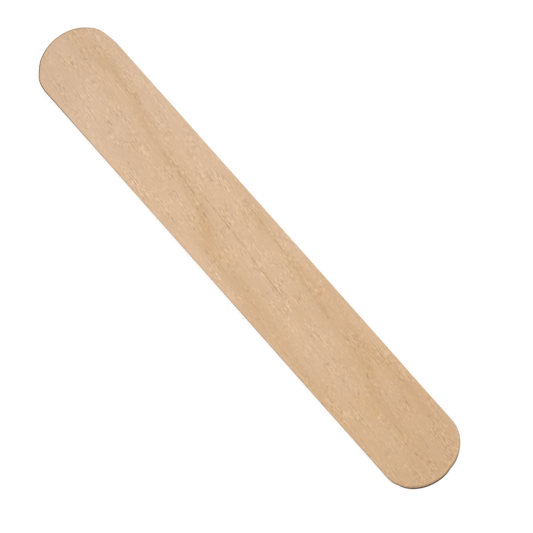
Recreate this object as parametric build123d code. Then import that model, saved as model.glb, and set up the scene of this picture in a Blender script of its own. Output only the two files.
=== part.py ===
"""Adult tongue depressor: one flat blade of peeled birch veneer.

The blade is stamped from a strip of veneer. Its long sides are straight and parallel, and
each end is a full round that runs into them without a corner. Tumbling in a drum then
rounds the whole rim, above and below, so that no sharp edge is left.

Frame: X along the blade, Y across it, Z up. The origin is the centre of the underside.
"""

from build123d import *

import os

# Driving dimensions, in millimetres
BLADE_LENGTH = 152.4  # six inches from tip to tip
BLADE_WIDTH = 19.05  # three quarters of an inch
BLADE_THICKNESS = 1.6  # one sheet of veneer, a sixteenth of an inch
RIM_ROUND = 0.45  # radius that the tumbling drum leaves on both edges of the rim


def stamped_blank():
    """The blade as the punch leaves it: the full-round outline through one sheet."""
    with BuildPart() as blank:
        with BuildSketch(Plane.XY):
            SlotOverall(BLADE_LENGTH, BLADE_WIDTH)
        extrude(amount=BLADE_THICKNESS)
    return blank.part


def tumbled(blank):
    """The blank with the edges round its two broad faces rounded over."""
    upper_face = blank.faces().sort_by(Axis.Z)[-1]
    lower_face = blank.faces().sort_by(Axis.Z)[0]
    return fillet(upper_face.edges() + lower_face.edges(), radius=RIM_ROUND)


blade = tumbled(stamped_blank())

os.makedirs("parts", exist_ok=True)
export_step(blade, "parts/blade.step")
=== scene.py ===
"""Looks of the tongue depressor: its birch veneer blade and a plain white studio.

The blade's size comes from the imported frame. What is worked out here is what that model leaves
out: the figure and colour of the wood, its raised fibres, the worn rim, the light and the view.

Frame: metres, X along the blade, Y across it, Z up. The blade lies on the floor at Z = 0.
"""

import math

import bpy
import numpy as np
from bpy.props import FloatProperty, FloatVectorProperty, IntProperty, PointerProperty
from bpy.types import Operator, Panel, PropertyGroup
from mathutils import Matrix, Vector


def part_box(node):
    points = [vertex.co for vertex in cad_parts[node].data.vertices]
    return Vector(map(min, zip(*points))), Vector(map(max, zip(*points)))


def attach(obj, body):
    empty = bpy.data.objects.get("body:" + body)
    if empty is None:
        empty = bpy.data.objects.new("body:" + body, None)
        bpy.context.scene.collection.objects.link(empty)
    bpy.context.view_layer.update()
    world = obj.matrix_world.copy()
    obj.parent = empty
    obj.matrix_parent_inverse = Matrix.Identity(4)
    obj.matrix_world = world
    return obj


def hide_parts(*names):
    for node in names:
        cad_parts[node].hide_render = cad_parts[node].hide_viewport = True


bl_info = {
    "name": "Tongue depressor",
    "version": (1, 0, 0),
    "blender": (4, 5, 0),
    "location": "View3D > Sidebar > Tongue depressor",
    "description": "Finishes a stamped blade as birch veneer and sets a plain white studio round it",
    "category": "Object",
}

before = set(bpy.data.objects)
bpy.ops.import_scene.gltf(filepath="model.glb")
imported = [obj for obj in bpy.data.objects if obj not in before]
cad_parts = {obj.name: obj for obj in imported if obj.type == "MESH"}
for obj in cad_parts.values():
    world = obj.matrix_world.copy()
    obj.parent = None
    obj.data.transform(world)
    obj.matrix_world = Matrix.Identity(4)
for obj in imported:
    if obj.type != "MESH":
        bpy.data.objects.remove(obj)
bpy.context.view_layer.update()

MM = 0.001  # metres in a millimetre

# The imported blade, which the finished one keeps to
BLADE_NODE = "blade"
BLADE_BODY = "root"
lowest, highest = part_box(BLADE_NODE)
LENGTH, WIDTH, THICKNESS = highest - lowest
END_RADIUS = WIDTH / 2
HALF_STRAIGHT = LENGTH / 2 - END_RADIUS

# Framing of the photograph, whose pixels are counted from its upper left corner
PHOTO_SIDE = 533
BLADE_CENTRE_PIXEL = (248.2, 255.8)
PIXELS_PER_MM = 4.555
SENSOR_WIDTH = 36.0  # of the camera, in millimetres, as Blender counts it

# Rows of faces that make up the blade's surface
STRAIGHT_STEPS = 260  # along each straight side
ROUND_STEPS = 64  # round each end
UPPER_ROWS = 88  # from the middle line out to the rim, on the upper face
LOWER_ROWS = 44  # the same on the underside, which has no hairlines
ROUND_ROWS = 6  # over each of the rim's two rounds
LAND_ROWS = 8  # down the upright band between them

# Random waves that follow the grain: their number, their length and their width, in millimetres
STREAK_WAVES = (60, 45.0, 1.6)
FIBRE_WAVES = (60, 12.0, 0.5)

# Waves that the peeling knife leaves: from one to the next, and the length over 2 pi of a slower
# wave that spreads and crowds them, both in millimetres, and how far that moves them, in radians
KNIFE_PITCH = 11.0
KNIFE_SWAY_LENGTH = 17.0
KNIFE_SWAY = 0.8

# Waves in which the rim is worn: how many go to a full turn, how many radians of them to each
# millimetre of X, and where they start
RIM_WAVE = (5, 0.09, 0.6)

# Turn of the grain from X, and the slow waves in which it wanders: the height of each and its
# length over 2 pi, in millimetres, and where it starts
GRAIN_SLOPE = math.radians(4.5)
GRAIN_WANDER = ((0.3, 9.7, 1.3), (0.12, 3.6, 0.4))

# Figure of the wood, in millimetres. Growth rings are slices through the veneer, so going down
# through its thickness they wander along and across the blade by these shares of the depth.
RING_DRIFT = (8.0, 2.2)
SOFTENING = 3.0  # half the length over which a line through points is smoothed
FRAY = 0.3  # how far the streaks shift the edges of bands and patches

# The bands of the upper face. Each has its line, as points (x, y), how strongly it shows along the
# way, as points (x, share), and how far it reaches to either side, as points (x, reach). The
# first three are growth rings, honey-coloured, and the last two are paler wood at the edges.
LEFT_RING = {
    "line": (
        (-76, 4.0), (-64, 4.5), (-59, 5.3), (-54, 5.0), (-51, 4.6), (-48, 3.6), (-45, 2.7),
        (-41, 1.6), (-33, 0.9), (-27, 0.8), (-23, 0.1), (-18, -0.4), (-15, -1.6), (-9, -4.6),
        (-6, -5.6), (6, -5.8), (13, -7.0), (18, -7.0), (24, -7.8), (33, -8.3), (48, -8.3),
    ),
    "strength": (
        (-76, 0.26), (-66, 0.34), (-59, 0.52), (-52, 0.46), (-46, 0.48), (-39, 0.34), (-32, 0.34),
        (-25, 0.46), (-20, 0.36), (-14, 0.6), (-9, 0.56), (-4, 0.34), (2, 0.42), (9, 0.5),
        (14, 0.44), (20, 0.3), (34, 0.36), (42, 0.2), (50, 0.0),
    ),
    "reach": (
        (-76, 2.6), (-66, 2.0), (-60, 1.4), (-20, 1.3), (-10, 1.7), (-3, 2.4), (12, 2.4),
        (26, 2.0), (40, 1.4),
    ),
}
RIGHT_RING = {
    "line": (
        (-18, 9.2), (-13, 8.6), (-6, 7.2), (0, 6.7), (4, 6.8), (9, 6.2), (15, 5.3), (21, 4.9),
        (26, 4.3), (33, 4.1), (39, 4.2), (42, 3.6), (45, 2.5), (48, 1.3), (51, 0.4), (54, -0.6),
        (61, -0.8), (69, -1.2), (76, -1.8),
    ),
    "strength": (
        (-19, 0.0), (-14, 0.26), (-10, 0.22), (-6, 0.44), (3, 0.38), (12, 0.48), (18, 0.42),
        (24, 0.52), (29, 0.3), (34, 0.42), (42, 0.52), (47, 0.46), (54, 0.28), (60, 0.32),
        (70, 0.24), (76, 0.16),
    ),
    "reach": ((-18, 1.3), (20, 1.4), (36, 1.7), (46, 1.5), (56, 1.8), (76, 2.4)),
}
CORNER_RING = {
    "line": (
        (20, 7.4), (27, 6.9), (33, 6.2), (39, 5.9), (45, 6.6), (51, 7.2), (55, 6.8), (61, 6.4),
        (67, 6.5), (76, 5.4),
    ),
    "strength": (
        (18, 0.0), (26, 0.2), (33, 0.35), (39, 0.48), (44, 0.26), (50, 0.36), (54, 0.52),
        (58, 0.28), (63, 0.32), (70, 0.12), (76, 0.0),
    ),
    "reach": ((20, 1.3), (76, 1.3)),
}
LOWER_EDGE = {
    "line": ((-60, -8.6), (10, -8.8)),
    "strength": (
        (-60, 0.0), (-54, -0.2), (-44, -0.2), (-35, -0.1), (-24, -0.1), (-14, -0.16), (2, -0.15),
        (10, 0.0),
    ),
    "reach": ((-60, 1.5), (10, 1.5)),
}
UPPER_EDGE = {
    "line": ((-64, 8.2), (-17, 8.2)),
    "strength": ((-64, 0.0), (-56, -0.1), (-40, -0.14), (-24, -0.1), (-17, 0.0)),
    "reach": ((-64, 1.6), (-17, 1.6)),
}
BANDS = (LEFT_RING, RIGHT_RING, CORNER_RING, LOWER_EDGE, UPPER_EDGE)

# Soft patches between and beside the bands: x and y of the middle, half the length, half the
# width, and the share of honey colour that each adds
PATCHES = (
    (-73.5, 1.0, 3.5, 6.0, -0.16),
    (-69.5, 6.0, 3.5, 1.6, -0.12),
    (-56.5, 1.1, 6.5, 1.5, 0.17),
    (-60.8, -1.7, 3.5, 1.2, -0.12),
    (-55.2, -4.8, 3.5, 2.0, -0.12),
    (-62.3, -7.4, 4.0, 1.2, 0.1),
    (-27.0, 5.0, 9.0, 1.6, -0.12),
    (-11.5, -2.5, 6.0, 2.3, 0.18),
    (-10.4, 7.4, 3.5, 1.4, -0.12),
    (-19.0, -8.2, 4.0, 1.2, 0.18),
    (5.5, 8.1, 5.0, 1.3, -0.22),
    (20.5, 8.3, 7.5, 1.5, 0.22),
    (21.0, 0.4, 6.0, 1.5, 0.15),
    (6.0, -8.0, 3.5, 1.4, -0.15),
    (39.2, 1.5, 4.0, 1.3, 0.25),
    (34.0, 4.6, 3.5, 1.3, -0.13),
    (57.3, 3.3, 3.0, 1.5, 0.18),
    (62.0, -2.4, 5.5, 1.8, -0.2),
    (45.2, 8.6, 3.5, 1.2, 0.2),
    (73.2, -2.4, 3.6, 1.7, 0.34),
    (-34.0, -1.0, 4.5, 1.2, 0.1),
    (-11.3, -6.0, 3.5, 1.4, 0.13),
    (28.0, -3.0, 6.0, 1.2, -0.1),
    (40.0, -5.3, 2.8, 1.7, 0.12),
    (50.5, -1.7, 4.0, 1.4, 0.14),
)

# Stretches where the fibres stand out more than elsewhere, or less: x and y of the middle, half
# the length, half the width, and the share added to their strength
COARSE_PATCHES = (
    (-54.0, 5.0, 7.0, 3.0, 0.25),
    (-42.0, 2.5, 6.0, 5.0, -0.3),
    (-30.0, -5.2, 6.0, 2.6, 0.8),
    (-18.0, 5.2, 7.0, 2.6, 0.2),
    (-12.0, -5.2, 9.0, 2.6, -0.5),
    (-8.0, 0.0, 30.0, 2.4, 0.2),
    (18.0, 0.5, 6.0, 2.6, 0.95),
    (23.0, -5.2, 11.0, 2.8, -0.75),
    (54.0, 0.0, 6.0, 2.6, -0.6),
    (66.0, -5.0, 7.0, 3.0, -0.45),
)

# Honey colour of the sheet between the bands, and its rosy tint: points (x, share)
SHEET_SHARE = (
    (-76, 0.6), (-69, 0.5), (-63, 0.42), (-57, 0.28), (-47, 0.32), (-35, 0.38), (-20, 0.33),
    (-9, 0.38), (6, 0.35), (18, 0.45), (25, 0.46), (31, 0.43), (45, 0.62), (53, 0.74), (62, 0.78),
    (69, 0.88), (76, 0.98),
)
ROSY_SHARE = (
    (-76, -0.46), (-68, -0.34), (-60, -0.2), (-48, -0.18), (-34, -0.06), (-24, 0.04), (50, 0.04),
    (76, -0.26),
)

# Hairline checks and the darkest pore lines: (x, y) of each end, then how dark it is
HAIRLINES = (
    (-60.5, 4.9, -54.8, 4.6, 0.41),
    (-54.6, 4.3, -48.1, 4.0, 0.09),
    (-50.7, -3.3, -48.8, -3.4, 0.95),
    (-43.0, -2.9, -40.2, -3.1, 0.38),
    (-35.2, 0.9, -31.7, 1.0, 0.55),
    (-28.5, 0.7, -26.3, 0.7, 0.54),
    (-24.0, 0.3, -20.6, 0.1, 0.65),
    (-20.6, -6.9, -18.4, -7.5, 0.87),
    (-19.5, 1.5, -10.1, 1.05, 0.56),
    (-16.2, -1.1, -14.2, -1.3, 0.77),
    (-13.1, -1.8, -10.5, -3.0, 0.3),
    (-12.0, -6.6, -8.9, -6.5, 0.2),
    (-10.1, 1.05, -7.7, 0.9, 0.94),
    (-7.7, 0.9, -0.3, 0.4, 0.39),
    (1.0, 0.35, 3.3, 0.2, 0.71),
    (4.9, 0.2, 14.9, -0.5, 0.73),
    (-5.3, 7.1, -2.7, 7.1, 0.37),
    (1.3, 6.8, 7.3, 6.3, 0.25),
    (10.7, 6.1, 14.7, 5.5, 0.43),
    (22.1, 4.9, 25.5, 4.4, 0.29),
    (32.2, 4.0, 34.8, 4.0, 0.61),
    (43.8, 2.25, 45.3, 1.65, 0.92),
    (46.3, -4.8, 48.5, -4.9, 0.7),
    (58.2, -0.6, 62.6, -0.8, 0.57),
    (64.5, 2.1, 69.3, 1.5, 0.56),
    (67.1, -1.4, 70.2, -1.0, 0.72),
)
HAIRLINE_REACH = 0.13  # half the width of a check, in millimetres
HAIRLINE_WAVER = 0.05  # how far its line wavers to either side, in millimetres
HAIRLINE_TURNS = 1.9  # how fast it does so, in radians to the millimetre
HAIRLINE_ENDS = 6  # a check fades over one part in this many of its length at each end
HAIRLINE_DOWN = 0.4  # depth in millimetres at which its colour has mostly gone

# The way round the outline from each end's tip is counted in degrees of its round, towards +Y.
# The round ends at 90, and each further degree is a sixth of a millimetre along a side.

# Small flats in the ends, long shallow ones in the sides, and a bump where the depth is negative:
# the place, the depth in millimetres and half the width in degrees
NEAR_FLATS = ((14, 0.17, 8), (42, 0.06, 20), (-68, 0.08, 7), (150, 0.05, 70), (-140, 0.04, 60))
FAR_FLATS = ((84, 0.27, 13), (50, 0.06, 8), (-50, 0.12, 8), (-68, -0.08, 6))

# How dark the rim is, as points (place, share): partly fibres that the stamp has crushed, and partly
# painted shade on the rim's lower edge and on its -Y side, which faces away from the key lamp
NEAR_CRUSH_AND_SHADE = (
    (-350, 0.0), (-170, 0.11), (-90, 0.25), (-75, 0.52), (-62, 1.0), (-12, 1.0), (0, 0.82),
    (15, 0.6), (30, 0.6), (42, 0.22), (60, 0.16), (90, 0.1), (150, 0.0),
)
FAR_CRUSH_AND_SHADE = (
    (-350, 0.0), (-170, 0.25), (-90, 0.6), (-75, 0.9), (-45, 0.9), (-30, 0.7), (-15, 0.5),
    (30, 0.4), (50, 0.3), (60, 0.0),
)
# Height up to which the crushed fibres and the painted shade reach, as a share of the thickness,
# the share of it over which they fade out there, and the share of painted shade left on the upper
# round above, which dims the lighter ring where that round faces the key lamp
NEAR_CRUSH_AND_SHADE_TOP = 0.53
FAR_CRUSH_AND_SHADE_TOP = 1.05
CRUSH_AND_SHADE_FADE = 0.08
SHADE_ON_UPPER_ROUND = 0.1

# Soft patterns in the wood: the size of one blob along the grain, across it and down, in
# millimetres, how many finer layers lie over it, and a shift that sets the pattern apart
CLOUDS = ((13.0, 2.8, 2.5), 2.0, 9.0)
STREAKS = ((16.0, 0.8, 0.8), 2.0, 0.0)
BLUSH = ((5.0, 3.4, 2.5), 1.0, 14.0)
COARSE_PLACES = ((6.5, 3.2, 3.0), 1.0, 21.0)
FIBRES = ((6.5, 0.31, 0.3), 3.0, 5.0)
MOTTLE = ((3.0, 1.2, 1.0), 3.0, 33.0)
GRIT = ((1.2, 0.27, 0.3), 1.0, 41.0)
# Cells that hold one pore or one smaller vessel each: their size and shift, in the same way
PORES = ((3.4, 0.45, 0.45), 3.0)
VESSELS = ((1.6, 0.2, 0.2), 17.0)

# How far the patterns sway the wood: towards honey, towards rosy, and to light and dark
CLOUD_HONEY = 0.12
STREAK_HONEY = 0.3
BLUSH_ROSY = 0.9
STREAK_TONE = 0.55
FIBRE_TONE = 1.2
MOTTLE_TONE = 0.42
GRIT_TONE = 1.75
PORE_TONE = -0.52
PALE_VESSEL_TONE = 0.85

# Surface of the wood
ROUGHNESS_SWAY = 0.06
SPECULAR_LEVEL = 0.2
BUMP_STRENGTH = 0.6
BUMP_DEPTH = 0.02 * MM
PORE_DEPTH = 0.6  # of a pore in that bump, next to the height of the fibres

WHITE = (1.0, 1.0, 1.0, 1.0)

# The floor's own grey, and the darker grey and the glow that it has where it is seen
FLOOR_GREY = (0.8, 0.8, 0.8, 1.0)
SEEN_GREY = (0.14, 0.14, 0.14, 1.0)
SEEN_GLOW = 0.89

KEY_DIRECTION = (0.6, 0.36, 1.0)  # from the blade towards the key lamp
KEY_SPREAD = math.radians(30.0)  # how wide the lamp looks from there


class BladeRelief(PropertyGroup):
    """What stamping, peeling and tumbling leave on the blade's surface."""

    near_round: FloatProperty(
        name="Near end's rim round",
        description="Radius that the tumbling drum leaves on both edges of the rim, at the near end",
        default=0.28 * MM,
        min=0.1 * MM,
        max=0.7 * MM,
        unit="LENGTH",
        precision=5,
    )
    far_round: FloatProperty(
        name="Far end's rim round",
        description="The same radius at the far end, which is more worn",
        default=0.48 * MM,
        min=0.1 * MM,
        max=0.7 * MM,
        unit="LENGTH",
        precision=5,
    )
    side_round: FloatProperty(
        name="Side round",
        description="The same radius along the straight sides, where the stamp cuts with the grain",
        default=0.25 * MM,
        min=0.1 * MM,
        max=0.7 * MM,
        unit="LENGTH",
        precision=5,
    )
    rim_wear: FloatProperty(
        name="Rim wear",
        description="How much that radius differs from place to place, as a share of it",
        default=0.12,
        min=0.0,
        max=0.4,
        subtype="FACTOR",
    )
    fibre_depth: FloatProperty(
        name="Fibre depth",
        description="Depth of the fine furrows between raised fibres",
        default=0.018 * MM,
        min=0.0,
        max=0.1 * MM,
        unit="LENGTH",
        precision=5,
    )
    knife_depth: FloatProperty(
        name="Knife waves",
        description="Depth of the slow waves that the peeling knife leaves across the sheet",
        default=0.02 * MM,
        min=0.0,
        max=0.1 * MM,
        unit="LENGTH",
        precision=5,
    )
    check_depth: FloatProperty(
        name="Hairline depth",
        description="Depth of the long hairline checks in the upper face",
        default=0.05 * MM,
        min=0.0,
        max=0.2 * MM,
        unit="LENGTH",
        precision=5,
    )
    far_skew: FloatProperty(
        name="Skew of the far end",
        description="How far the far end's round bulges on its -Y side and is flattened on its +Y side",
        default=0.2 * MM,
        min=0.0,
        max=0.5 * MM,
        unit="LENGTH",
        precision=5,
    )
    seed: IntProperty(
        name="Seed",
        description="Number that the fibres and waves are drawn from",
        default=11,
        min=0,
    )


class BirchFinish(PropertyGroup):
    """Colours of the bare birch, as Blender's linear values."""

    pale_wood: FloatVectorProperty(
        name="Pale wood",
        description="Colour of the early wood, between the rings",
        default=(0.738, 0.522, 0.358),
        min=0.0,
        max=1.0,
        subtype="COLOR",
    )
    honey_wood: FloatVectorProperty(
        name="Honey wood",
        description="Colour of the growth rings and of the darker end of the sheet",
        default=(0.642, 0.419, 0.2385),
        min=0.0,
        max=1.0,
        subtype="COLOR",
    )
    rosy_wood: FloatVectorProperty(
        name="Rosy wood",
        description="Pale wood at its rosiest. Cooler wood is as far from pale wood the other way",
        default=(0.797, 0.539, 0.331),
        min=0.0,
        max=1.0,
        subtype="COLOR",
    )
    dark_fibre: FloatVectorProperty(
        name="Dark fibres",
        description="Pale wood where a fibre is dark. Raised fibres are as much paler",
        default=(0.566, 0.384, 0.249),
        min=0.0,
        max=1.0,
        subtype="COLOR",
    )
    check_wood: FloatVectorProperty(
        name="Hairline checks",
        description="Colour down in the hairline checks",
        default=(0.385, 0.2, 0.095),
        min=0.0,
        max=1.0,
        subtype="COLOR",
    )
    # The crushed fibres' colour also stands in for painted shade on the rim's lower edge and -Y side
    crushed_and_shaded_wood: FloatVectorProperty(
        name="Crushed fibres",
        description="Colour of the rim where the stamp has crushed the fibres",
        default=(0.085, 0.032, 0.001),
        min=0.0,
        max=1.0,
        subtype="COLOR",
    )
    roughness: FloatProperty(
        name="Roughness",
        description="Mean roughness of the bare wood",
        default=0.66,
        min=0.0,
        max=1.0,
        subtype="FACTOR",
    )


class StudioSetup(PropertyGroup):
    """Camera, lamp and floor of the picture."""

    elevation: FloatProperty(
        name="Elevation",
        description="Angle of the camera above the floor",
        default=math.radians(57.2),
        subtype="ANGLE",
    )
    azimuth: FloatProperty(
        name="Azimuth",
        description="Turn of the camera round the blade. At 90 degrees it looks along -X",
        default=math.radians(90.0),
        subtype="ANGLE",
    )
    roll: FloatProperty(
        name="Roll",
        description="Turn of the camera about its own line of sight",
        default=math.radians(41.61),
        subtype="ANGLE",
    )
    distance: FloatProperty(
        name="Distance",
        description="From the camera to the blade",
        default=5.0,
        min=0.5,
        unit="LENGTH",
    )
    key_strength: FloatProperty(
        name="Key light",
        description="Strength of the soft key lamp",
        default=2.06,
        min=0.0,
    )
    room_strength: FloatProperty(
        name="Room light",
        description="Strength of the even light from all round",
        default=0.45,
        min=0.0,
    )
    floor_side: FloatProperty(
        name="Floor",
        description="Side of the square floor",
        default=6.0,
        min=0.5,
        unit="LENGTH",
    )


def line_through(points, x):
    """Height at x of a smooth line through points: straight runs, averaged over a stretch of x."""
    stretch = np.linspace(-SOFTENING, SOFTENING, 7)
    places, heights = np.transpose(points)
    return np.mean([np.interp(x + shift, places, heights) for shift in stretch], axis=0)


def grain_waves(along, across, rng, count, length, width):
    """Random waves that follow the grain, with a mean of 0 and a spread of 1.

    It is a sum of cosines. Each has a random phase, a wavelength near width across the grain
    and one near length along it, and the sum is divided by the root of half their number.
    """
    total = np.zeros_like(along)
    for _ in range(count):
        step_across = 2 * math.pi / (width * rng.uniform(0.5, 2.0))
        step_along = 2 * math.pi / length * rng.normal()
        total += np.cos(step_across * across + step_along * along + rng.uniform(0, 2 * math.pi))
    return total / math.sqrt(count / 2)


def bell(distance, reach):
    """A bell curve: 1 on its line, and 0.37 at reach from it."""
    return np.exp(-((distance / reach) ** 2))


def patched(x, y, patches):
    """Sum of soft patches at points in millimetres: each is a bell curve out from its middle."""
    share = np.zeros_like(x)
    for middle_x, middle_y, half_length, half_width, added in patches:
        way = np.hypot((x - middle_x) / half_length, (y - middle_y) / half_width)
        share += added * bell(way, 1.0)
    return share


def honey_share(x, y, streaks):
    """Share of honey colour at points of the upper face, in millimetres.

    It is the sheet's own share, which changes along X, plus a bell curve across each band's
    line, plus the patches. Streaks fray their edges along the grain.
    """
    frayed = y + FRAY * streaks
    share = line_through(SHEET_SHARE, x)
    for band in BANDS:
        gap = frayed - line_through(band["line"], x)
        share = share + line_through(band["strength"], x) * bell(gap, line_through(band["reach"], x))
    return share + patched(x, frayed, PATCHES)


def hairline_share(x, y, depth):
    """Share of hairline check at points in millimetres: 1 in the middle of a check.

    Across a check it is a narrow bell curve about the line between its two ends, which wavers.
    It fades at each end, and with depth, because a check only opens the upper face.
    """
    share = np.zeros_like(x)
    for start_x, start_y, end_x, end_y, dark in HAIRLINES:
        way = (x - start_x) / (end_x - start_x)
        waver = HAIRLINE_WAVER * np.sin(HAIRLINE_TURNS * x)
        gap = y - (start_y + way * (end_y - start_y)) - waver
        ends = np.clip(np.minimum(way, 1 - way) * HAIRLINE_ENDS, 0, 1)
        share = np.maximum(share, dark * ends * bell(gap, HAIRLINE_REACH))
    return share * bell(depth, HAIRLINE_DOWN)


def way_round(centres, angles):
    """Way of each station of the outline from the near tip and from the far one, in degrees.

    Round an end it is the angle from that end's tip. Along a side it grows by the length over
    the end's radius, so that it goes on evenly where the round runs into the side.
    """
    turn = np.degrees(angles)
    turn = np.where(turn > 180, turn - 360, turn)
    side = np.where(turn < 0, -1, 1)
    near = turn + side * np.degrees((HALF_STRAIGHT - centres) / END_RADIUS)
    half_way = 180 + np.degrees(2 * HALF_STRAIGHT / END_RADIUS)
    return near, side * half_way - near


def flat_depth(centres, angles):
    """How far each station of the outline lies in from the full round, in metres."""
    depth = np.zeros_like(angles)
    for way, flats in zip(way_round(centres, angles), (NEAR_FLATS, FAR_FLATS)):
        for place, deep, reach in flats:
            depth += deep * MM * bell(way - place, reach)
    return depth


def crush_and_shade_share(centres, angles, height, lean):
    """Share of crushed fibre and painted shade for each station and row of the blade's section.

    It goes by the way round from each end's tip, and is strongest on the -Y side, away from the key
    lamp, where it is painted shade. It fades out over a short way at a height that changes evenly
    from the near end to the far one, so the lower edge of the rim is painted darker, and a faint
    share of painted shade is left on the upper round above that. The broad faces have none.
    """
    near, far = way_round(centres, angles)
    strength = np.interp(near, *np.transpose(NEAR_CRUSH_AND_SHADE)) + np.interp(far, *np.transpose(FAR_CRUSH_AND_SHADE))
    beyond = (HALF_STRAIGHT - centres) / (2 * HALF_STRAIGHT)
    top = NEAR_CRUSH_AND_SHADE_TOP + (FAR_CRUSH_AND_SHADE_TOP - NEAR_CRUSH_AND_SHADE_TOP) * beyond
    below = np.clip((top[:, None] + CRUSH_AND_SHADE_FADE / 2 - height / THICKNESS) / CRUSH_AND_SHADE_FADE, 0, 1)
    wall = np.clip(5 * np.sin(lean), 0, 1)
    upper_round = np.clip(np.sin(2 * lean), 0, 1)
    return strength[:, None] * np.maximum(below * wall, SHADE_ON_UPPER_ROUND * upper_round)


def drifted(x, y, depth):
    """Where the ring that lies depth below x, y comes up to the face, all in millimetres.

    Down through the sheet the rings wander along X and Y by their drift times the depth.
    """
    return x + RING_DRIFT[0] * depth, y + RING_DRIFT[1] * depth


def grain_places(points):
    """Places of points in the log: along the grain, across it and down, in millimetres.

    The grain is turned from X by its slope and wanders in slow waves. With depth the places
    drift along and across, as the rings do, so the underside shows another stretch of the log.
    """
    x, y, z = (points / MM).T
    depth = THICKNESS / MM - z
    x, y = drifted(x, y, depth)
    along = x * math.cos(GRAIN_SLOPE) - y * math.sin(GRAIN_SLOPE)
    across = x * math.sin(GRAIN_SLOPE) + y * math.cos(GRAIN_SLOPE)
    for height, length, start in GRAIN_WANDER:
        across = across + height * np.sin(along / length + start)
    return np.stack([along, across, depth], axis=1)


def outline_stations():
    """Stations round the blade's outline, anticlockwise from above.

    Returns three arrays: the X of each station's centre on the blade's middle line, the angle
    at which the station lies out from there, and the number of that centre. The order is the
    near end's round, the +Y side, the far end's round and the -Y side.
    """
    turn = np.linspace(-math.pi / 2, math.pi / 2, ROUND_STEPS + 1)
    side = np.linspace(HALF_STRAIGHT, -HALF_STRAIGHT, STRAIGHT_STEPS + 1)[1:-1]
    near = np.full(turn.size, HALF_STRAIGHT)
    centres = np.concatenate([near, side, -near, -side])
    quarter = np.full(side.size, math.pi / 2)
    angles = np.concatenate([turn, quarter, turn + math.pi, -quarter])
    number = np.arange(1, STRAIGHT_STEPS)
    first = np.zeros(turn.size, int)
    numbers = np.concatenate([first, number, first + STRAIGHT_STEPS, number[::-1]])
    return centres, angles, numbers


def rim_radius(relief, centres, angles):
    """Radius of the rim's rounds at each station, in metres.

    It goes from the side's radius to the end's with the cosine of the angle, and is worn more or
    less along a cosine wave that runs round the ends and more slowly along the sides.
    """
    end_round = np.where(centres > 0, relief.near_round, relief.far_round)
    radius = relief.side_round + (end_round - relief.side_round) * np.abs(np.cos(angles))
    turns, step, start = RIM_WAVE
    wave = np.cos(turns * angles + step * centres / MM + start)
    return radius * (1 + relief.rim_wear * wave)


def section(reach, radius):
    """Half section of the blade for each station, from its middle line round to it again.

    The rows run out over the upper face, down a quarter round, the upright land and a second
    quarter round, and back in under the blade. Returns the distance out, the height and the
    lean of the surface for each station and row. Lean is 0 where it faces up, pi where down.
    """
    reach, radius = reach[:, None], radius[:, None]
    upper = np.linspace(0, 1, UPPER_ROWS + 1)[None, 1:]
    lower = np.linspace(1, 0, LOWER_ROWS + 1)[None, 1:-1]
    quarter = np.linspace(0, math.pi / 2, ROUND_ROWS + 1)[None, 1:]
    land = np.linspace(0, 1, LAND_ROWS + 1)[None, 1:]
    inner = reach - radius
    out = [
        inner * upper,
        inner + radius * np.sin(quarter),
        reach + 0 * land,
        inner + radius * np.cos(quarter),
        inner * lower,
    ]
    height = [
        THICKNESS + 0 * inner * upper,
        THICKNESS - radius + radius * np.cos(quarter),
        THICKNESS - radius + (2 * radius - THICKNESS) * land,
        radius - radius * np.sin(quarter),
        0 * inner * lower,
    ]
    lean = [
        0 * inner * upper,
        quarter + 0 * radius,
        math.pi / 2 + 0 * radius * land,
        math.pi / 2 + quarter + 0 * radius,
        math.pi + 0 * inner * lower,
    ]
    return (np.concatenate(rows, axis=1) for rows in (out, height, lean))


def blade_faces(numbers, rows):
    """Corner numbers of the blade's quads and triangles, all facing outwards.

    The grid's points come first, station by station, then the upper middle line and the lower
    one. Quads fill the grid and join it to the middle lines, and at each end's centre, where
    neighbouring stations share one point, triangles do.
    """
    stations = numbers.size
    grid = np.arange(stations * rows).reshape(stations, rows)
    after = np.roll(grid, -1, axis=0)
    quads = np.stack([grid[:, :-1], grid[:, 1:], after[:, 1:], after[:, :-1]], axis=-1).reshape(-1, 4)
    upper = stations * rows + numbers
    lower = upper + STRAIGHT_STEPS + 1
    upper_after, lower_after = np.roll(upper, -1), np.roll(lower, -1)
    apart = upper != upper_after
    inner = np.stack([upper, grid[:, 0], after[:, 0], upper_after], axis=-1)
    under = np.stack([grid[:, -1], lower, lower_after, after[:, -1]], axis=-1)
    quads = np.concatenate([quads, inner[apart], under[apart]])
    triangles = np.concatenate([inner[~apart][:, :3], under[~apart][:, [0, 1, 3]]])
    return quads.tolist() + triangles.tolist()


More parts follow.
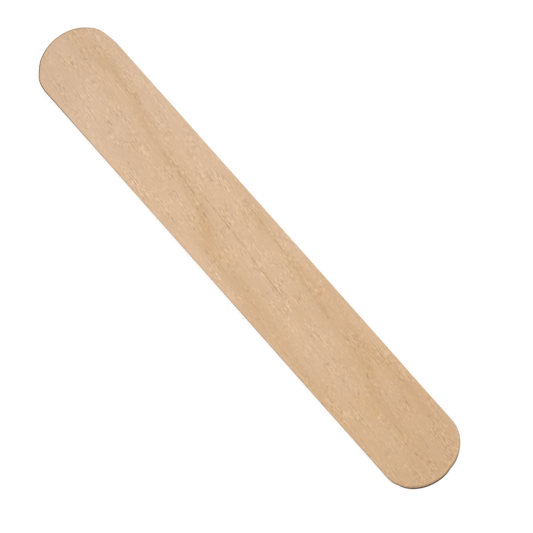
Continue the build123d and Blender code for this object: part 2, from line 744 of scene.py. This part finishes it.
def smooth_blade(relief):
    """The blade before the relief of its wood: its section carried round its outline.

    Returns its points, the way straight out from each, its faces, and the share of crushed fibre
    and painted shade at each point. The outline is the full round less the flats, and the far end's
    round is skewed by the sine of twice the angle.
    """
    centres, angles, numbers = outline_stations()
    skew = np.where(centres <= -HALF_STRAIGHT, relief.far_skew * np.sin(2 * angles), 0)
    reach = END_RADIUS + skew - flat_depth(centres, angles)
    out, height, lean = section(reach, rim_radius(relief, centres, angles))
    ahead, sideways = np.cos(angles)[:, None], np.sin(angles)[:, None]
    points = np.stack([centres[:, None] + out * ahead, out * sideways, height], axis=-1)
    outwards = np.stack([np.sin(lean) * ahead, np.sin(lean) * sideways, np.cos(lean)], axis=-1)

    middle = np.linspace(HALF_STRAIGHT, -HALF_STRAIGHT, STRAIGHT_STEPS + 1)
    upper = np.stack([middle, 0 * middle, THICKNESS + 0 * middle], axis=-1)
    lower = upper * (1, 1, 0)
    up = np.tile((0.0, 0.0, 1.0), (middle.size, 1))
    points = np.concatenate([points.reshape(-1, 3), upper, lower])
    outwards = np.concatenate([outwards.reshape(-1, 3), up, -up])
    crush_and_shade = np.zeros(len(points))
    crush_and_shade[: height.size] = crush_and_shade_share(centres, angles, height, lean).ravel()
    return points, outwards, blade_faces(numbers, out.shape[1]), crush_and_shade


def veneer_mesh(relief):
    """Mesh of the blade: the smooth blade with the relief of the wood.

    Each point of the smooth blade is moved straight in by a depth that is never negative, so
    that the blade stays inside its packed size. The depth is the furrows between fibres, plus
    the knife's slow waves, plus the hairline checks.
    """
    points, outwards, faces, crush_and_shade = smooth_blade(relief)
    rng = np.random.default_rng(relief.seed)
    grain = grain_places(points)
    along, across, depth = grain.T
    streaks = grain_waves(along, across, rng, *STREAK_WAVES)
    fibres = grain_waves(along, across, rng, *FIBRE_WAVES)
    swayed = KNIFE_SWAY * np.sin(along / KNIFE_SWAY_LENGTH)
    knife = np.cos(2 * math.pi * along / KNIFE_PITCH + swayed)
    x, y = points[:, 0] / MM, points[:, 1] / MM
    checks = hairline_share(x, y, depth)
    ring_x, ring_y = drifted(x, y, depth)
    shares = {
        "honey": honey_share(ring_x, ring_y, streaks),
        "rosy": line_through(ROSY_SHARE, ring_x),
        "coarse": 1 + patched(ring_x, ring_y, COARSE_PATCHES),
        "check": checks,
        # The rim's crushed fibres together with its painted shade
        "crush_and_shade": crush_and_shade,
    }

    furrows = relief.fibre_depth * np.clip(0.5 + 0.35 * fibres, 0, 1)
    waves = relief.knife_depth * (0.5 + 0.5 * knife)
    moved = furrows + waves + relief.check_depth * checks
    points = np.clip(points - outwards * moved[:, None], lowest, highest)

    mesh = bpy.data.meshes.new("blade_veneer")
    mesh.from_pydata(points.tolist(), [], faces)
    mesh.attributes.new("grain", "FLOAT_VECTOR", "POINT").data.foreach_set("vector", grain.ravel())
    for name, share in shares.items():
        mesh.attributes.new(name, "FLOAT", "POINT").data.foreach_set("value", share)
    mesh.shade_smooth()
    return mesh


class NodeSheet:
    """Short calls that add nodes to a material's or a world's tree and join them up."""

    def __init__(self, tree):
        self.tree = tree
        self.tree.nodes.clear()

    def add(self, kind, inputs=None, **settings):
        """Adds a node, sets what settings say, and gives each named input its value or link."""
        node = self.tree.nodes.new(kind)
        for name, value in settings.items():
            setattr(node, name, value)
        for name, value in (inputs or {}).items():
            self.give(node.inputs[name], value)
        return node

    def give(self, socket, value):
        """Joins value to socket if it comes out of a node, or else writes it there."""
        if isinstance(value, bpy.types.NodeSocket):
            self.tree.links.new(value, socket)
        else:
            socket.default_value = value

    def attribute(self, name, output):
        """A value that the mesh holds at each of its points."""
        return self.add("ShaderNodeAttribute", attribute_name=name).outputs[output]

    def maths(self, operation, first, second):
        """One step of arithmetic on two numbers."""
        return self.add("ShaderNodeMath", {0: first, 1: second}, operation=operation).outputs[0]

    def times(self, first, second):
        """first times second."""
        return self.maths("MULTIPLY", first, second)

    def total(self, first, *others):
        """All the numbers added up."""
        for other in others:
            first = self.maths("ADD", first, other)
        return first

    def shifted(self, base, share, step):
        """base with share times step added to it, for places or colours."""
        inputs = {0: share, 1: step, 2: base}
        return self.add("ShaderNodeVectorMath", inputs, operation="MULTIPLY_ADD").outputs[0]

    def in_cells(self, place, cell, shift):
        """place in numbers of cells, which have the size cell in millimetres, moved by shift."""
        return self.shifted((shift,) * 3, place, tuple(1 / size for size in cell))

    def noise(self, place, cell, detail, shift):
        """Soft random blobs of the size cell, about 0.5 on average."""
        inputs = {"Vector": self.in_cells(place, cell, shift), "Scale": 1.0, "Detail": detail}
        return self.add("ShaderNodeTexNoise", inputs).outputs["Fac"]

    def spots(self, place, cell, shift):
        """One random spot in each cell: the distance from its middle, and its own random numbers."""
        inputs = {"Vector": self.in_cells(place, cell, shift), "Scale": 1.0}
        node = self.add("ShaderNodeTexVoronoi", inputs)
        draws = self.add("ShaderNodeSeparateColor", {"Color": node.outputs["Color"]})
        return node.outputs["Distance"], draws.outputs

    def smooth(self, value, low, high, to_low=0.0, to_high=1.0):
        """value taken from low..high to to_low..to_high, with soft ends."""
        inputs = {"Value": value, "From Min": low, "From Max": high, "To Min": to_low, "To Max": to_high}
        return self.add("ShaderNodeMapRange", inputs, interpolation_type="SMOOTHSTEP").outputs["Result"]

    def sway(self, value, reach):
        """value less its usual mean of 0.5, times reach."""
        return self.times(self.maths("SUBTRACT", value, 0.5), reach)

    def blend(self, share, first, second):
        """Colour between first and second, by share."""
        # The node's sockets for colours come after its sockets for numbers and vectors
        inputs = {0: share, 6: first, 7: second}
        return self.add("ShaderNodeMix", inputs, data_type="RGBA", clamp_factor=True).outputs[2]


def opaque(colour):
    """A colour property as the four numbers that a colour socket takes."""
    return (*colour, 1.0)


def difference(first, second):
    """first less second, for two colour properties."""
    return tuple(one - other for one, other in zip(first, second))


def figured_wood(sheet, finish, grain, streaks):
    """Colour of the sheet: pale wood, honey wood in the rings, and rosy and cooler patches.

    The honey share is the mesh's own, moved about by clouds and streaks, and so is the rosy one,
    moved about by the blush.
    """
    clouds = sheet.sway(sheet.noise(grain, *CLOUDS), CLOUD_HONEY)
    drift = sheet.total(clouds, sheet.sway(streaks, STREAK_HONEY))
    honey = sheet.total(sheet.attribute("honey", "Fac"), drift)
    wood = sheet.blend(honey, opaque(finish.pale_wood), opaque(finish.honey_wood))
    blush = sheet.sway(sheet.noise(grain, *BLUSH), BLUSH_ROSY)
    rosy = sheet.total(sheet.attribute("rosy", "Fac"), blush)
    return sheet.shifted(wood, rosy, difference(finish.rosy_wood, finish.pale_wood))


def fibre_tone(sheet, grain, streaks, fibres, grit):
    """How light or dark the fibres are. The finer ones are stronger in some places than in others."""
    fine = sheet.total(
        sheet.sway(fibres, FIBRE_TONE),
        sheet.sway(sheet.noise(grain, *MOTTLE), MOTTLE_TONE),
        sheet.sway(grit, GRIT_TONE),
    )
    coarse = sheet.noise(grain, *COARSE_PLACES)
    coarse = sheet.smooth(coarse, low=0.38, high=0.66, to_low=0.1, to_high=1.75)
    coarse = sheet.times(coarse, sheet.attribute("coarse", "Fac"))
    return sheet.total(sheet.sway(streaks, STREAK_TONE), sheet.times(fine, coarse))


def pore_shares(sheet, grain):
    """Shares of dark pore and of pale vessel.

    Pores are short dark dashes along the grain, some fainter than others. Between them lie
    smaller vessels, of which some are dark and some are pale flecks.
    """
    distance, draws = sheet.spots(grain, *PORES)
    pores = sheet.smooth(distance, low=0.12, high=0.28, to_low=1.0, to_high=0.0)
    pores = sheet.times(pores, sheet.smooth(draws["Red"], low=0.65, high=1.0))
    distance, draws = sheet.spots(grain, *VESSELS)
    vessels = sheet.smooth(distance, low=0.16, high=0.36, to_low=1.0, to_high=0.0)
    dark = sheet.times(vessels, sheet.smooth(draws["Green"], low=0.4, high=1.0))
    pale = sheet.times(vessels, sheet.smooth(draws["Blue"], low=0.6, high=1.0))
    return sheet.total(pores, dark), pale


def marked_wood(sheet, finish, wood, grit):
    """wood with its hairline checks, and its rim darkened by crushed fibres and by painted shade, which
    both come and go.
    """
    broken = sheet.smooth(grit, low=0.4, high=0.6, to_low=0.25, to_high=1.1)
    check = sheet.times(sheet.attribute("check", "Fac"), broken)
    wood = sheet.blend(check, wood, opaque(finish.check_wood))
    # The rim's crushed fibres and painted shade, made uneven by the grit
    uneven = sheet.smooth(grit, low=0.3, high=0.6, to_low=0.8, to_high=1.15)
    crush_and_shade = sheet.times(sheet.attribute("crush_and_shade", "Fac"), uneven)
    return sheet.blend(crush_and_shade, wood, opaque(finish.crushed_and_shaded_wood))


def birch_material(finish):
    """Bare birch: pale, honey and rosy wood, streaks, fibres, pores, checks, and a rim darkened by
    crushed fibres and painted shade.
    """
    material = bpy.data.materials.new("birch_veneer")
    material.use_nodes = True
    sheet = NodeSheet(material.node_tree)
    grain = sheet.attribute("grain", "Vector")
    streaks = sheet.noise(grain, *STREAKS)
    fibres = sheet.noise(grain, *FIBRES)
    grit = sheet.noise(grain, *GRIT)
    pores, pale_vessels = pore_shares(sheet, grain)

    # Colour: the figure of the wood, then what lightens and darkens it, then the marks on it and the
    # painted shade along its rim
    wood = figured_wood(sheet, finish, grain, streaks)
    tone = sheet.total(
        fibre_tone(sheet, grain, streaks, fibres, grit),
        sheet.times(pores, PORE_TONE),
        sheet.times(pale_vessels, PALE_VESSEL_TONE),
    )
    wood = sheet.shifted(wood, tone, difference(finish.pale_wood, finish.dark_fibre))
    wood = marked_wood(sheet, finish, wood, grit)

    # Fine relief and roughness, from the same fibres and pores
    height = sheet.maths("SUBTRACT", fibres, sheet.times(pores, PORE_DEPTH))
    relief = {"Height": height, "Strength": BUMP_STRENGTH, "Distance": BUMP_DEPTH}
    smoothest, roughest = finish.roughness - ROUGHNESS_SWAY, finish.roughness + ROUGHNESS_SWAY
    surface = {
        "Base Color": wood,
        "Roughness": sheet.smooth(fibres, low=0.2, high=0.8, to_low=smoothest, to_high=roughest),
        "Normal": sheet.add("ShaderNodeBump", relief).outputs["Normal"],
        "Specular IOR Level": SPECULAR_LEVEL,
    }
    shader = sheet.add("ShaderNodeBsdfPrincipled", surface)
    sheet.add("ShaderNodeOutputMaterial", {"Surface": shader.outputs["BSDF"]})
    return material


def plain_view(sheet):
    """1 for rays that show the background itself: straight, mirrored or through glass."""
    path = sheet.add("ShaderNodeLightPath")
    seen = sheet.maths("MAXIMUM", path.outputs["Is Camera Ray"], path.outputs["Is Glossy Ray"])
    return sheet.maths("MAXIMUM", seen, path.outputs["Is Transmission Ray"])


def floor_material():
    """White floor. Where it is seen it has its own glow, which leaves only a faint shadow."""
    material = bpy.data.materials.new("white_floor")
    material.use_nodes = True
    sheet = NodeSheet(material.node_tree)
    plain = sheet.add("ShaderNodeBsdfDiffuse", {"Color": FLOOR_GREY})
    shaded = sheet.add("ShaderNodeBsdfDiffuse", {"Color": SEEN_GREY})
    glow = sheet.add("ShaderNodeEmission", {"Color": WHITE, "Strength": SEEN_GLOW})
    seen = sheet.add("ShaderNodeAddShader", {0: shaded.outputs[0], 1: glow.outputs[0]})
    shaders = {0: plain_view(sheet), 1: plain.outputs[0], 2: seen.outputs[0]}
    mixed = sheet.add("ShaderNodeMixShader", shaders)
    sheet.add("ShaderNodeOutputMaterial", {"Surface": mixed.outputs[0]})
    return material


def white_floor(side):
    """The studio's floor: one square of the given side, round the origin."""
    half = side / 2
    corners = [(-half, -half, 0.0), (half, -half, 0.0), (half, half, 0.0), (-half, half, 0.0)]
    mesh = bpy.data.meshes.new("floor")
    mesh.from_pydata(corners, [], [(0, 1, 2, 3)])
    mesh.materials.append(floor_material())
    return bpy.data.objects.new("floor", mesh)


def white_world(strength):
    """Even light from all round, with pure white wherever the room itself is seen."""
    world = bpy.data.worlds.new("studio_room")
    world.use_nodes = True
    sheet = NodeSheet(world.node_tree)
    light = sheet.add("ShaderNodeBackground", {"Color": WHITE, "Strength": strength})
    white = sheet.add("ShaderNodeBackground", {"Color": WHITE, "Strength": 1.0})
    shaders = {0: plain_view(sheet), 1: light.outputs[0], 2: white.outputs[0]}
    mixed = sheet.add("ShaderNodeMixShader", shaders)
    sheet.add("ShaderNodeOutputWorld", {"Surface": mixed.outputs[0]})
    return world


def key_lamp(strength):
    """A broad soft lamp about 55 degrees high, past the near end and a little to the +Y side."""
    lamp = bpy.data.lights.new("key_lamp", "SUN")
    lamp.energy = strength
    lamp.angle = KEY_SPREAD
    key = bpy.data.objects.new("key_lamp", lamp)
    key.rotation_mode = "QUATERNION"
    key.rotation_quaternion = Vector(KEY_DIRECTION).to_track_quat("Z", "Y")
    return key


def photo_camera(studio):
    """The photograph's view: its direction and roll, and its scale and place in the frame.

    The camera looks down on the blade from elevation and azimuth, and is then turned about its
    line of sight by roll. The lens is as long as fits the frame's width at that distance.
    """
    turn, rise, roll = studio.azimuth, studio.elevation, studio.roll
    back = Vector((math.sin(turn) * math.cos(rise), -math.cos(turn) * math.cos(rise), math.sin(rise)))
    level = Vector((math.cos(turn), math.sin(turn), 0.0))
    upright = back.cross(level)
    right = level * math.cos(roll) - upright * math.sin(roll)
    up = level * math.sin(roll) + upright * math.cos(roll)
    middle = Vector((0.0, 0.0, THICKNESS / 2))
    beside = (PHOTO_SIDE / 2 - BLADE_CENTRE_PIXEL[0]) / PIXELS_PER_MM * MM
    below = (PHOTO_SIDE / 2 - BLADE_CENTRE_PIXEL[1]) / PIXELS_PER_MM * MM
    data = bpy.data.cameras.new("photo_camera")
    data.sensor_width = SENSOR_WIDTH
    data.lens = SENSOR_WIDTH * studio.distance / (PHOTO_SIDE / PIXELS_PER_MM * MM)
    data.clip_end = 10 * studio.distance
    camera = bpy.data.objects.new("photo_camera", data)
    place = middle + right * beside - up * below + back * studio.distance
    turned = Matrix((right, up, back)).transposed().to_4x4()
    camera.matrix_world = Matrix.Translation(place) @ turned
    return camera


class BLADE_OT_finish_veneer(Operator):
    """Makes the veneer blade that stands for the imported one"""

    bl_idname = "blade.finish_veneer"
    bl_label = "Finish the blade"

    def execute(self, context):
        scene = context.scene
        mesh = veneer_mesh(scene.blade_relief)
        mesh.materials.append(birch_material(scene.birch_finish))
        blade = bpy.data.objects.new("blade_veneer", mesh)
        scene.collection.objects.link(blade)
        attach(blade, BLADE_BODY)
        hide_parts(BLADE_NODE)
        return {"FINISHED"}


class BLADE_OT_set_studio(Operator):
    """Sets the white floor, the light and the photograph's camera"""

    bl_idname = "blade.set_studio"
    bl_label = "Set the studio"

    def execute(self, context):
        scene = context.scene
        studio = scene.studio_setup
        floor = white_floor(studio.floor_side)
        key = key_lamp(studio.key_strength)
        camera = photo_camera(studio)
        for thing in (floor, key, camera):
            scene.collection.objects.link(thing)
        scene.world = white_world(studio.room_strength)
        scene.camera = camera
        scene.view_settings.view_transform = "Standard"
        return {"FINISHED"}


class BLADE_PT_sidebar(Panel):
    """Lists the blade's and the studio's settings, each with its button"""

    bl_idname = "BLADE_PT_sidebar"
    bl_label = "Tongue depressor"
    bl_space_type = "VIEW_3D"
    bl_region_type = "UI"
    bl_category = "Tongue depressor"

    def draw(self, context):
        scene = context.scene
        for settings in (scene.blade_relief, scene.birch_finish):
            for name in settings.__annotations__:
                self.layout.prop(settings, name)
        self.layout.operator(BLADE_OT_finish_veneer.bl_idname)
        for name in scene.studio_setup.__annotations__:
            self.layout.prop(scene.studio_setup, name)
        self.layout.operator(BLADE_OT_set_studio.bl_idname)


CLASSES = (
    BladeRelief,
    BirchFinish,
    StudioSetup,
    BLADE_OT_finish_veneer,
    BLADE_OT_set_studio,
    BLADE_PT_sidebar,
)


def register():
    for made in CLASSES:
        bpy.utils.register_class(made)
    bpy.types.Scene.blade_relief = PointerProperty(type=BladeRelief)
    bpy.types.Scene.birch_finish = PointerProperty(type=BirchFinish)
    bpy.types.Scene.studio_setup = PointerProperty(type=StudioSetup)


def unregister():
    del bpy.types.Scene.studio_setup
    del bpy.types.Scene.birch_finish
    del bpy.types.Scene.blade_relief
    for made in reversed(CLASSES):
        bpy.utils.unregister_class(made)


def main():
    register()
    bpy.ops.blade.finish_veneer()
    bpy.ops.blade.set_studio()


if __name__ == "__main__":
    main()
